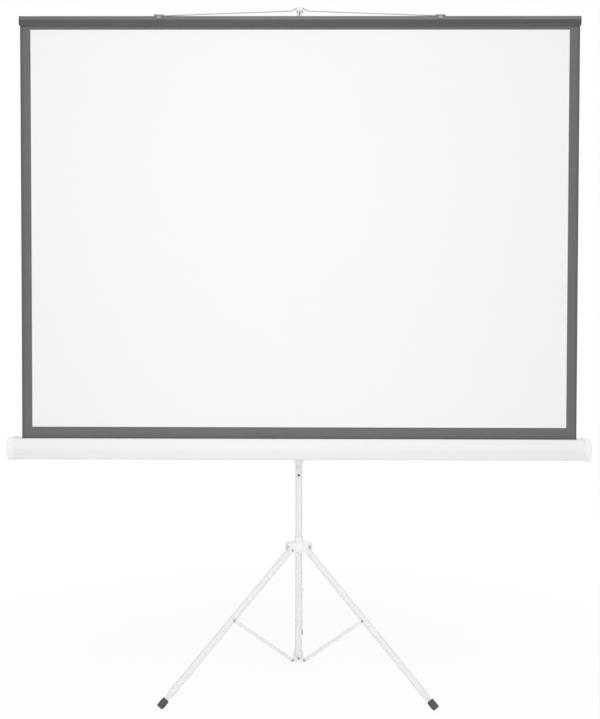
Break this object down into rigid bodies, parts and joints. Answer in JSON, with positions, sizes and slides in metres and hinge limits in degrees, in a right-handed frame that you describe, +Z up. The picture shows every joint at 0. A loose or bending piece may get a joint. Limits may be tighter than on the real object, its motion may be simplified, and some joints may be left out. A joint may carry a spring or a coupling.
{
  "type": "tripod projector screen",
  "caption": "Portable projection screen that pulls up out of a steel case and hooks onto a mast standing on folding tripod legs.",
  "frame": {"origin": "on the floor, at the centre of the footprint's bounding box", "axes": "+Z up, the viewing side faces -Y, +X is to the viewer's right"},
  "size_m": [1.6334, 0.659, 1.9405],
  "materials": {
    "white_powder_coat": "satin powder coat",
    "white_plastic": "moulded, semi-gloss",
    "chromed_steel": "polished chrome plate",
    "zinc_steel": "zinc plated",
    "dark_steel": "dark zinc plated",
    "black_rubber": "matte moulded",
    "black_plastic": "moulded, satin",
    "dark_bar": "dark anodised",
    "screen_fabric": "matte coated cloth",
    "nylon": "natural nylon"
  },
  "bodies": {
    "mast": {"main_tube": "white_powder_coat", "mast_hub": "white_powder_coat", "hub_screw": "dark_steel", "left_hub_rivet": "zinc_steel", "right_hub_rivet": "zinc_steel", "rear_hub_rivet": "zinc_steel", "mast_top_collar": "white_plastic", "snap_spring": "zinc_steel"},
    "snap_button": {"snap_button": "black_plastic"},
    "extension": {"extension_tube": "chromed_steel", "extension_end_plug": "nylon", "hanger_hook": "white_plastic"},
    "extension_knob": {"extension_knob": "black_plastic"},
    "carriage": {"carriage_sleeve": "white_plastic", "swivel_bolt": "zinc_steel"},
    "height_knob": {"height_knob": "black_plastic"},
    "case": {"case_shell": "white_powder_coat", "case_end_cap_left": "white_plastic", "case_end_cap_right": "white_plastic", "case_bracket": "zinc_steel", "spring_spindle": "zinc_steel"},
    "roller": {"roller_tube": "zinc_steel", "fabric_roll": "screen_fabric", "roller_plug_left": "nylon", "roller_plug_right": "nylon", "roller_spring": "dark_steel"},
    "screen": {"screen_fabric": "screen_fabric", "top_bar": "dark_bar", "bar_end_cap_left": "black_plastic", "bar_end_cap_right": "black_plastic", "bail_eye_left": "dark_steel", "bail_eye_right": "dark_steel"},
    "bail": {"hanger_bail": "zinc_steel"},
    "yoke": {"leg_yoke": "white_plastic", "yoke_bush": "nylon", "left_yoke_pin": "zinc_steel", "right_yoke_pin": "zinc_steel", "rear_yoke_pin": "zinc_steel"},
    "left_leg": {"left_leg_tube": "white_powder_coat", "left_leg_top_plug": "white_plastic", "left_leg_stud": "zinc_steel", "left_leg_spigot": "white_plastic", "left_rubber_foot": "black_rubber"},
    "left_brace": {"left_brace": "white_powder_coat", "left_brace_rivet": "zinc_steel"},
    "right_leg": {"right_leg_tube": "white_powder_coat", "right_leg_top_plug": "white_plastic", "right_leg_stud": "zinc_steel", "right_leg_spigot": "white_plastic", "right_rubber_foot": "black_rubber"},
    "right_brace": {"right_brace": "white_powder_coat", "right_brace_rivet": "zinc_steel"},
    "rear_leg": {"rear_leg_tube": "white_powder_coat", "rear_leg_top_plug": "white_plastic", "rear_leg_stud": "zinc_steel", "rear_leg_spigot": "white_plastic", "rear_rubber_foot": "black_rubber"},
    "rear_brace": {"rear_brace": "white_powder_coat", "rear_brace_rivet": "zinc_steel"}
  },
  "joints": [
    {"name": "yoke_slide", "type": "slide", "parent": "mast", "child": "yoke", "axis": [0, 0, 1], "range_m": [0, 0.1697]},
    {"name": "snap_button_press", "type": "slide", "parent": "mast", "child": "snap_button", "axis": [0, 1, 0], "range_m": [0, 0.003], "stiffness_N_per_m": 900, "springref_m": -0.002},
    {"name": "extension_slide", "type": "slide", "parent": "mast", "child": "extension", "axis": [0, 0, 1], "range_m": [-0.54, 0]},
    {"name": "extension_knob_turn", "type": "hinge", "parent": "mast", "child": "extension_knob", "pos_m": [0, -0.082, 1.28], "axis": [0, 1, 0], "range_deg": [0, 360]},
    {"name": "case_height", "type": "slide", "parent": "mast", "child": "carriage", "axis": [0, 0, 1], "range_m": [0, 0.4]},
    {"name": "height_knob_turn", "type": "hinge", "parent": "carriage", "child": "height_knob", "pos_m": [0, -0.082, 0.708], "axis": [0, 1, 0], "range_deg": [0, 360]},
    {"name": "case_swivel", "type": "hinge", "parent": "carriage", "child": "case", "pos_m": [0, -0.1322, 0.6824], "axis": [0, 1, 0], "range_deg": [0, 60]},
    {"name": "roller_spin", "type": "hinge", "parent": "case", "child": "roller", "pos_m": [0, -0.1652, 0.6824], "axis": [-1, 0, 0], "range_deg": [-3800, 40]},
    {"name": "screen_slide", "type": "slide", "parent": "case", "child": "screen", "axis": [0, 0, 1], "range_m": [-1.15, 0.01], "deforming": ["screen_fabric"]},
    {"name": "bail_swing", "type": "hinge", "parent": "screen", "child": "bail", "pos_m": [0, -0.181, 1.8912], "axis": [1, 0, 0], "range_deg": [0, 130]},
    {"name": "left_leg_fold", "type": "hinge", "parent": "yoke", "child": "left_leg", "pos_m": [-0.02382, -0.11975, 0.3845], "axis": [0.5, -0.866, 0], "range_deg": [0, 46.41]},
    {"name": "left_brace_fold", "type": "hinge", "parent": "mast", "child": "left_brace", "pos_m": [-0.02382, -0.11975, 0.0672], "axis": [-0.5, 0.866, 0], "range_deg": [0, 52.44]},
    {"name": "right_leg_fold", "type": "hinge", "parent": "yoke", "child": "right_leg", "pos_m": [0.02382, -0.11975, 0.3845], "axis": [0.5, 0.866, 0], "range_deg": [0, 46.41]},
    {"name": "right_brace_fold", "type": "hinge", "parent": "mast", "child": "right_brace", "pos_m": [0.02382, -0.11975, 0.0672], "axis": [-0.5, -0.866, 0], "range_deg": [0, 52.44]},
    {"name": "rear_leg_fold", "type": "hinge", "parent": "yoke", "child": "rear_leg", "pos_m": [0, -0.0785, 0.3845], "axis": [-1, 0, 0], "range_deg": [0, 46.41]},
    {"name": "rear_brace_fold", "type": "hinge", "parent": "mast", "child": "rear_brace", "pos_m": [0, -0.0785, 0.0672], "axis": [1, 0, 0], "range_deg": [0, 52.44]}
  ],
  "couplings": [
    {"joint": "roller_spin", "follows": "screen_slide", "rad_per_m": 57.143},
    {"joint": "left_leg_fold", "follows": "yoke_slide", "rad_per_m": 4.7712},
    {"joint": "left_brace_fold", "follows": "yoke_slide", "rad_per_m": 5.391},
    {"joint": "right_leg_fold", "follows": "yoke_slide", "rad_per_m": 4.7712},
    {"joint": "right_brace_fold", "follows": "yoke_slide", "rad_per_m": 5.391},
    {"joint": "rear_leg_fold", "follows": "yoke_slide", "rad_per_m": 4.7712},
    {"joint": "rear_brace_fold", "follows": "yoke_slide", "rad_per_m": 5.391}
  ]
}
